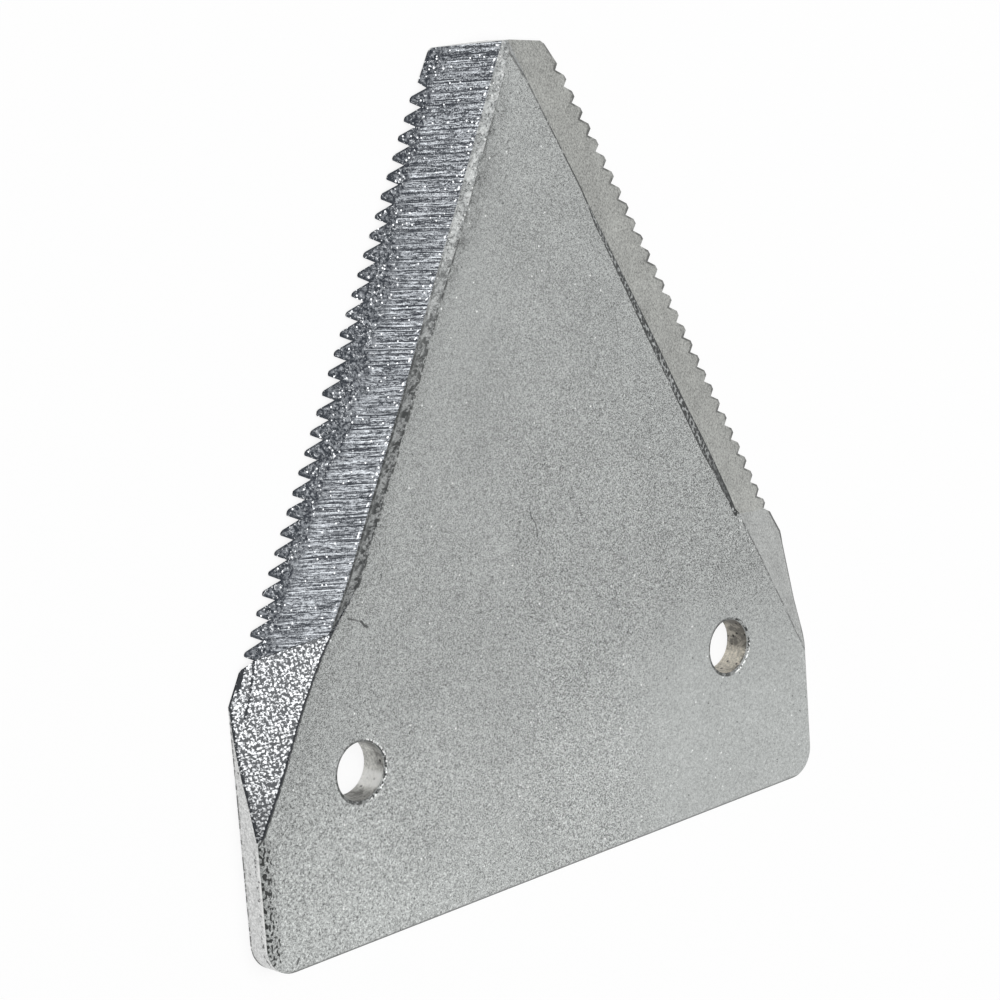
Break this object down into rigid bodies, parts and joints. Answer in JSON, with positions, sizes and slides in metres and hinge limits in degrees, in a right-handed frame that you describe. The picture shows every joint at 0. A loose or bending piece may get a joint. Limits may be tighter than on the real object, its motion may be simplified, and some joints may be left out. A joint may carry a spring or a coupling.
{
  "type": "mower sickle section",
  "caption": "Triangular steel mower blade section, bevelled on its front and serrated from behind, with two fixing holes for riveting or bolting it to a knife bar.",
  "frame": {"origin": "the middle between the centres of the two fixing holes, on the blade's flat back", "axes": "+X along the base from the left hole to the right hole as seen from the front, +Y up the blade to its tip, +Z out of the bevelled front"},
  "size_m": [0.0754, 0.081, 0.0027],
  "materials": {
    "blade_steel": "matt light grey hardened steel, fine grinding lines on the toothed bevels, coarse pebbled scale on the stamped bevels beside the holes"
  },
  "bodies": {
    "root": {"sickle_section": "blade_steel"}
  },
  "joints": []
}
